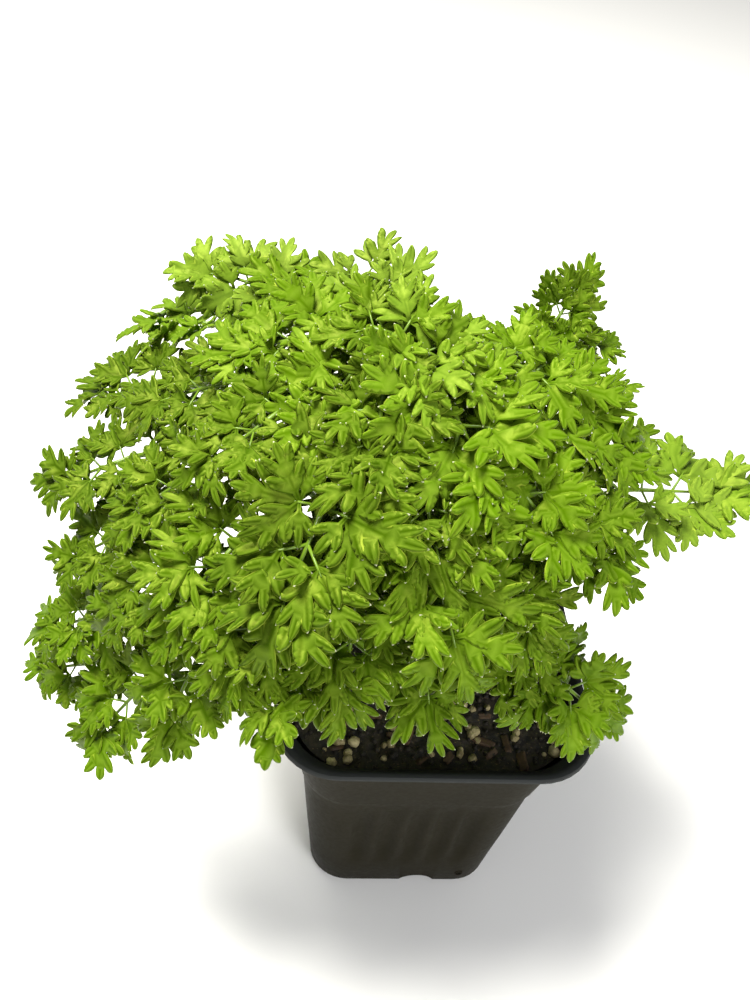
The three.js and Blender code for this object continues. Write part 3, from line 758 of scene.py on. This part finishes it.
# The leaflets of a leaf: where each joins, as a share of the blade past its foot or, below
# 0, of the stalk short of it, how far it is turned and lifted, its length beside the
# blade's, and its plan.
BLADE_PLAN = [
    (0.42, 0, -4, 0.56, "broad"),
    (0.26, 52, 6, 0.52, "broad"),
    (0.26, -52, 6, 0.52, "broad"),
    (0.06, 84, 10, 0.5, "broad"),
    (0.06, -84, 10, 0.5, "broad"),
    (-0.06, 125, 6, 0.42, "narrow"),
    (-0.06, -125, 6, 0.42, "narrow"),
    (-0.26, 76, 18, 0.42, "broad"),
    (-0.26, -76, 18, 0.42, "broad"),
]
CLIMB_STEPS = 14  # that a stalk's climb from the crown is drawn in
STALK_RADIUS = 1.7  # at the crown, from where it thins
STALK_LEAN = (0.12, 0.12, 0.5)  # how a stalk sets out, as a share of its rise
MIDRIB_LENGTH = 0.4  # as a share of the blade
MIDRIB_RADII = [0.7, 0.55, 0.4]
# painted shade: the leaflets below the blade are painted darker, pair by pair
LOWER_PAINTED_SHADE = 0.45  # how much darker each pair of leaflets below the blade is than the last


def make_leaf(name, leaf, region, outlines, rng, materials):
    """One whole leaf: its stalk from the crown, its midrib and its leaflets."""
    at, blade, *_ = leaf
    middle, face, ahead = blade_frame(leaf)
    surface = Surface()
    traits = TRAITS[region]
    age = PALE.get(name, min(max(traits["youth"] + rng.uniform(-0.25, 0.25), 0), 1))
    rooted = Vector((at[0] * CROWN_SPREAD, at[1] * CROWN_SPREAD, MIX_TOP - 1))
    foot = middle - ahead * BLADE_MIDDLE * blade
    rise = foot - rooted
    lean = Vector((rise.x * STALK_LEAN[0], rise.y * STALK_LEAN[1], rise.length * STALK_LEAN[2]))
    climb = bezier([rooted, rooted + lean, foot - ahead * rise.length * 0.22, foot], CLIMB_STEPS)
    steps = range(CLIMB_STEPS + 1)
    girth = [STALK_RADIUS - 0.7 * min(step / 3, 1) - 0.3 * step / CLIMB_STEPS for step in steps]
    tube(surface, climb, girth, (*STALK_MARKS, age))
    end = foot + ahead * MIDRIB_LENGTH * blade
    tube(surface, [foot, foot.lerp(end, 0.5), end], MIDRIB_RADII, (*STALK_MARKS, age), 6)
    # painted shade for the leaf's region, varied leaf by leaf; the pale leaves get none
    region_painted_shade = traits["region_painted_shade"] + rng.uniform(-0.25, 0.25) if age <= 1 else 0
    for share, turn, lift, length, plan in BLADE_PLAN[: traits["leaflets"]]:
        root = foot + ahead * share * blade if share > 0 else climb[round(CLIMB_STEPS * (1 + share))]
        turn += rng.uniform(-8, 8)
        way, out = turned_frame(ahead, face, turn, lift + rng.uniform(-10, 10), rng.uniform(-12, 12))
        reach = blade * length * traits["size"] * rng.uniform(0.93, 1.07)
        # each pair of leaflets below the blade gets more painted shade
        pairs_down = 2 if share < -0.1 else 1 if share < 0 else 0
        dark = region_painted_shade + LOWER_PAINTED_SHADE * pairs_down
        add_leaflet(surface, rng, outlines, root, way, out, reach, plan, age, dark)
    return surface.build(name, materials)


def make_leaves():
    """Every leaf of the plan, in its region's outlines, in place of its solid."""
    rng = random.Random(7)
    materials = [leaf_material(), stalk_material()]
    for region, members in LEAVES.items():
        full = TRAITS[region]["fullness"]
        outlines = {}
        for kind in SEGMENTS:
            outlines[kind] = [grow_segment(kind, rng, full) for _ in range(VARIANTS)]
        for index, leaf in enumerate(members, 1):
            piece = make_leaf(f"parsley_leaf_{region}_{index}", leaf, region, outlines, rng, materials)
            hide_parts(f"leaf_{region}_{index}")
            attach(piece, "root")


# ------------------------------------------------------------------ the pot

# The outside of the pot from foot to rim, then its inside down to the floor: the height,
# and half the width there. The fluted stretch lies between the heights in FLUTED.
POT_PROFILE = [
    (0.35, 28.6),
    (0.95, 29.4),
    (1.9, 30.3),
    (3.0, 30.8),
    (15.0, 32.0),
    (19.0, 32.4),
    (24.0, 32.95),
    (30.0, 33.6),
    (42.0, 34.8),
    (54.0, 36.0),
    (59.5, 36.5),
    (61.0, 36.8),
    (62.4, 37.3),
    (63.6, 37.6),
    (72.0, 39.1),
    (82.0, 41.1),
    (88.0, 42.3),
    (89.6, 42.8),
    (90.6, 43.6),
    (90.7, 45.2),
    (89.8, 45.5),
    (89.6, 46.0),
    (90.0, 46.35),
    (91.0, 46.4),
    (91.7, 46.1),
    (92.0, 45.5),
    (91.95, 44.8),
    (91.5, 44.1),
    (90.4, 43.3),
    (89.0, 41.7),
    (63.0, 36.4),
    (59.5, 34.6),
    (6.5, 29.0),
    (5.0, 28.2),
    (4.7, 27.2),
]
FLUTED = (22.0, 56.0)
FLUTE_PITCH = 8.4
FLUTE_DEPTH = 1.8
FLUTES_EACH_WAY = 2.5  # from the middle of a side
FLUTE_STEPS = 8  # the wall is pressed in by this many steps of depth
FLUTE_FADE = ([22, 30, 50, 56], [0.5, 1, 1, 0.75])  # height, and share of the full depth
WALL = ([3, 59.5], [30.8, 36.5])  # the fluted wall: height, and half the width
WALL_CUTS = 39  # the sides are cut into columns so that flutes can be pressed into them
DRAIN_SHIFT = 5.5  # how far the arch under each side is off its middle
DRAIN_HALF = 6.5  # half the width of the arch
DRAIN_HEIGHT = 3.0
DRAIN_REACH = 13.0  # how far in under the floor the arch runs
DRAIN_HOLE = 3.0  # the radius of the hole by each corner
DRAIN_HOLE_DEPTH = 16.0  # half of it below the floor
DIMPLE_HEIGHT = 6.4  # the dimple above each arch, pressed into the wall only
DIMPLE_DEPTH = 1.4
CLEAR = 4.0  # how far a cutting tool stands out of the wall
MARK_PLACE = (19.5, -31.45, 9.0)  # the moulded ring on the front
MARK_RADII = (1.1, 0.28)  # of the ring, and of its bead


def make_pot():
    """The pot, drawn up from its foot ring by ring, over the rim and down inside."""
    sole = POT_PROFILE[0][1] - 1  # half the width that the pot stands on
    bpy.ops.mesh.primitive_plane_add(size=2 * sole * MM, location=(0, 0, 0))
    pot = bpy.context.object
    pot.name = "nursery_pot_drawn"
    bpy.ops.object.mode_set(mode="EDIT")
    bpy.ops.mesh.select_all(action="SELECT")
    bpy.ops.mesh.bevel(offset=(BODY_CORNER - 2) * MM, segments=9, affect="VERTICES")
    mesh_edit = bmesh.from_edit_mesh(pot.data)
    bpy.ops.mesh.select_all(action="DESELECT")
    bpy.ops.mesh.select_mode(type="EDGE")
    for edge in mesh_edit.edges:
        edge.select_set(edge.calc_length() > 10 * MM)
    bpy.ops.mesh.subdivide(number_cuts=WALL_CUTS)
    bpy.ops.mesh.select_mode(type="FACE")
    bpy.ops.mesh.select_all(action="SELECT")
    draw_up(0.0, sole, POT_PROFILE)
    close_end(pot)
    sink_flutes(pot)
    bpy.ops.mesh.select_all(action="SELECT")
    bpy.ops.mesh.normals_make_consistent(inside=False)
    bpy.ops.object.mode_set(mode="OBJECT")
    cut_drains(pot)
    add_mould_mark(pot)
    bpy.ops.object.shade_smooth_by_angle(angle=math.radians(40))
    pot.data.materials.clear()
    pot.data.materials.append(pot_material())
    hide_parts("nursery_pot")
    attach(pot, "root")


def sink_flutes(pot):
    """Presses soft flutes into each outside wall, column by column."""
    for across, out in ((0, -1), (1, 0), (0, 1), (-1, 0)):
        normal, along = Vector((across, out, 0)), Vector((-out, across, 0))
        depths = {}
        mesh_edit = bmesh.from_edit_mesh(pot.data)
        for vertex in mesh_edit.verts:
            place = vertex.co / MM
            wall = np.interp(place.z, *WALL)
            if not FLUTED[0] < place.z < FLUTED[1] or place.dot(normal) < wall - 0.4:
                continue
            side = place.dot(along)
            if abs(side) > FLUTES_EACH_WAY * FLUTE_PITCH:
                continue
            depth = 0.5 - 0.5 * math.cos(2 * math.pi * side / FLUTE_PITCH + math.pi)
            fade = np.interp(place.z, *FLUTE_FADE)
            depths[vertex.index] = round(min(1, 1.2 * depth) * fade * FLUTE_STEPS)
        for step in range(1, FLUTE_STEPS + 1):
            bpy.ops.mesh.select_all(action="DESELECT")
            mesh_edit = bmesh.from_edit_mesh(pot.data)
            for vertex in mesh_edit.verts:
                vertex.select_set(depths.get(vertex.index) == step)
            press = FLUTE_DEPTH * step / FLUTE_STEPS * MM
            bpy.ops.transform.translate(value=tuple(-normal * press))


def cut_with(piece, tool, operation):
    """Cuts a piece with another, and removes the tool."""
    modifier = piece.modifiers.new("cut", "BOOLEAN")
    modifier.operation = operation
    modifier.object = tool
    modifier.solver = "EXACT"
    bpy.ops.object.select_all(action="DESELECT")
    bpy.context.view_layer.objects.active = piece
    piece.select_set(True)
    bpy.ops.object.modifier_apply(modifier=modifier.name)
    bpy.data.objects.remove(tool)


def cut_arch(pot, turn, height, inner, outer):
    """Cuts an arch through the foot of one side, from one distance off the centre to another."""
    middle = Matrix.Rotation(turn, 3, "Z") @ Vector(((inner + outer) / 2, DRAIN_SHIFT, 0)) * MM
    bpy.ops.mesh.primitive_cylinder_add(
        vertices=40,
        radius=DRAIN_HALF * MM,
        depth=(outer - inner) * MM,
        location=middle,
        rotation=(0, math.pi / 2, turn),
    )
    bpy.ops.object.transform_apply(location=True, rotation=True, scale=True)
    bpy.ops.object.mode_set(mode="EDIT")
    bpy.ops.mesh.select_all(action="SELECT")
    bpy.ops.transform.resize(value=(1, 1, height / DRAIN_HALF), center_override=(0, 0, 0))
    bpy.ops.object.mode_set(mode="OBJECT")
    cut_with(pot, bpy.context.object, "DIFFERENCE")


def cut_drains(pot):
    """Under each side a low arched channel and a dimple in the wall; a hole by each corner."""
    for side in range(4):
        turn = side * math.pi / 2
        cut_arch(pot, turn, DRAIN_HEIGHT, FOOT_HALF - DRAIN_REACH, FOOT_HALF + CLEAR)
        cut_arch(pot, turn, DIMPLE_HEIGHT, FOOT_HALF - DIMPLE_DEPTH, FOOT_HALF + CLEAR)
        corner = (FOOT_HALF - BODY_CORNER + 1) * math.sqrt(2) * MM
        bpy.ops.mesh.primitive_cylinder_add(
            vertices=24,
            radius=DRAIN_HOLE * MM,
            depth=DRAIN_HOLE_DEPTH * MM,
            location=(corner * math.cos(turn + math.pi / 4), corner * math.sin(turn + math.pi / 4), 0),
        )
        cut_with(pot, bpy.context.object, "DIFFERENCE")


def add_mould_mark(pot):
    """The small raised ring that the mould leaves low on the front of the pot."""
    bpy.ops.mesh.primitive_torus_add(
        location=Vector(MARK_PLACE) * MM,
        rotation=(math.radians(84), 0, 0),
        major_segments=24,
        minor_segments=8,
        major_radius=MARK_RADII[0] * MM,
        minor_radius=MARK_RADII[1] * MM,
    )
    mark = bpy.context.object
    bpy.ops.object.select_all(action="DESELECT")
    mark.select_set(True)
    pot.select_set(True)
    bpy.context.view_layer.objects.active = pot
    bpy.ops.object.join()


# ------------------------------------------------------------------ the potting mix

# The mix is a rough block cut to the space inside the pot: height, and half the width there.
MIX_UNDER = (5.5, 28.0)
MIX_PROFILE = [(10.0, 28.6), (59.5, 34.2), (63.0, 36.0), (90.4, 41.6)]
BLOCK_HALF = 44
BLOCK_DEPTH = 90
BLOCK_CUTS = 88  # one to a millimetre
ROUGHNESS = [("clods", 9.0, 2.2), ("crumbs", 2.2, 1.6)]  # how wide and how high it is rough


def make_mix():
    """Loose potting mix: a crumbly top inside the walls of the pot."""
    height, half = MIX_UNDER
    bpy.ops.mesh.primitive_plane_add(size=2 * half * MM, location=(0, 0, height * MM))
    filling = bpy.context.object
    bpy.ops.object.mode_set(mode="EDIT")
    bpy.ops.mesh.select_all(action="SELECT")
    bpy.ops.mesh.bevel(offset=BODY_CORNER * MM, segments=8, affect="VERTICES")
    bpy.ops.mesh.select_mode(type="FACE")
    bpy.ops.mesh.select_all(action="SELECT")
    draw_up(height, half, MIX_PROFILE)
    close_end(filling)
    bpy.ops.mesh.select_all(action="SELECT")
    bpy.ops.mesh.normals_make_consistent(inside=False)
    bpy.ops.object.mode_set(mode="OBJECT")

    bpy.ops.mesh.primitive_grid_add(
        x_subdivisions=BLOCK_CUTS,
        y_subdivisions=BLOCK_CUTS,
        size=2 * BLOCK_HALF * MM,
        location=(0, 0, MIX_TOP * MM),
    )
    mix = bpy.context.object
    mix.name = "potting_mix_drawn"
    bpy.ops.object.mode_set(mode="EDIT")
    bpy.ops.mesh.select_all(action="SELECT")
    bpy.ops.mesh.extrude_region_move(TRANSFORM_OT_translate={"value": (0, 0, -BLOCK_DEPTH * MM)})
    bpy.ops.mesh.select_all(action="SELECT")
    bpy.ops.mesh.normals_make_consistent(inside=False)
    bpy.ops.object.mode_set(mode="OBJECT")
    for name, size, strength in ROUGHNESS:
        pattern = bpy.data.textures.new(name, "CLOUDS")
        pattern.noise_scale = size * MM
        modifier = mix.modifiers.new(name, "DISPLACE")
        modifier.texture = pattern
        modifier.texture_coords = "LOCAL"
        modifier.direction = "Z"
        modifier.strength = strength * MM
        bpy.ops.object.modifier_apply(modifier=name)
    cut_with(mix, filling, "INTERSECT")
    bpy.ops.object.transform_apply(location=True, rotation=False, scale=False)
    bpy.ops.object.shade_smooth_by_angle(angle=math.radians(35))
    mix.data.materials.clear()
    mix.data.materials.append(peat_material())
    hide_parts("potting_mix")
    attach(mix, "root")
    return mix


# Grains: how many, their least, greatest and usual width, their proportions, and how far a
# grain's centre stands above the mix, as a share of its height.
PERLITE = (120, (1.0, 4.2, 1.8), (1, 0.9, 0.85), 0.35)
BARK = (60, (2.0, 7.0, 3.2), (1, 0.45, 0.22), 0.6)
CRUMBS = (700, (0.7, 2.6, 1.2), (1, 0.85, 0.8), 0.4)
GRAIN_REACH = 40.5  # grains lie this far from the middle of the pot at most
CORNER_CENTRE, CORNER_REACH = 29, 11.3  # in its corners they keep within an arc
CROWN_CLEAR = 15  # and they keep this far from the crown


def scatter(mix, rng, name, grains, material, shape):
    """Strews copies of a grain over the mix as one piece, each turned and sized its own way."""
    count, sizes, stretch, rise = grains
    shape()
    grain = bpy.context.object
    base = np.array([tuple(vertex.co) for vertex in grain.data.vertices])
    faces = [tuple(face.vertices) for face in grain.data.polygons]
    bpy.data.objects.remove(grain)
    points, joined = [], []
    while len(joined) < count * len(faces):
        x, y = rng.uniform(-GRAIN_REACH, GRAIN_REACH), rng.uniform(-GRAIN_REACH, GRAIN_REACH)
        past = max(abs(x) - CORNER_CENTRE, 0), max(abs(y) - CORNER_CENTRE, 0)
        if math.hypot(*past) > CORNER_REACH:
            continue
        hit, place, _, _ = mix.ray_cast(Vector((x * MM, y * MM, 0.2)), Vector((0, 0, -1)))
        if not hit or math.hypot(x, y) < CROWN_CLEAR:
            continue
        size = rng.triangular(*sizes) / 2
        turn = Matrix.Rotation(rng.uniform(0, 6.3), 3, "Z")
        turn = turn @ Matrix.Rotation(rng.uniform(-0.5, 0.5), 3, "X")
        waves = base @ np.array([rng.uniform(2, 5) for _ in range(3)])
        bumps = 1 + 0.16 * np.sin(waves + rng.uniform(0, 6))
        shaped = base * bumps[:, None] * np.array([s * rng.uniform(0.8, 1.15) for s in stretch]) * size
        centre = np.array(place) / MM + np.array((0, 0, size * stretch[2] * rise))
        start = len(joined) // len(faces) * len(base)
        points.append(shaped @ np.array(turn).T + centre)
        joined.extend(tuple(corner + start for corner in face) for face in faces)
    mesh = bpy.data.meshes.new(name)
    mesh.from_pydata((np.concatenate(points) * MM).tolist(), [], joined)
    mesh.polygons.foreach_set("use_smooth", [material.name != "bark_chip_composted"] * len(joined))
    mesh.materials.append(material)
    piece = bpy.data.objects.new(name, mesh)
    bpy.context.scene.collection.objects.link(piece)
    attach(piece, "root")


def bead():
    """A round grain."""
    bpy.ops.mesh.primitive_ico_sphere_add(subdivisions=2, radius=1)


def crumb():
    """A coarse grain, too small to need more faces."""
    bpy.ops.mesh.primitive_ico_sphere_add(subdivisions=1, radius=1)


def chip():
    """A flake with broken edges."""
    bpy.ops.mesh.primitive_cube_add(size=2)
    bpy.ops.object.mode_set(mode="EDIT")
    bpy.ops.mesh.bevel(offset=0.35, segments=1, affect="EDGES")
    bpy.ops.object.mode_set(mode="OBJECT")


def strew_grains(mix):
    """Perlite, bark and crumbs of peat on the mix."""
    rng = random.Random(21)
    scatter(mix, rng, "perlite_beads", PERLITE, perlite_material(), bead)
    scatter(mix, rng, "bark_chips", BARK, bark_material(), chip)
    scatter(mix, rng, "peat_crumbs", CRUMBS, mix.data.materials[0], crumb)


# ------------------------------------------------------------------ floor


def make_floor():
    """A matt floor, under the pot only for the look of it."""
    bpy.ops.mesh.primitive_plane_add(size=8, location=(0, 0, 0))
    floor = bpy.context.object
    floor.name = "floor"
    m = new_material("studio_floor")
    paint = {"Base Color": (0.9, 0.9, 0.9, 1), "Roughness": 0.9}
    skin = add_node(m, "ShaderNodeBsdfPrincipled", **paint)
    add_node(m, "ShaderNodeOutputMaterial", Surface=skin.outputs[0])
    floor.data.materials.append(m)


place_camera()
light_scene()
make_floor()
make_pot()
strew_grains(make_mix())
bpy.data.objects["crown_and_taproot"].material_slots[0].material = crown_material()
make_leaves()
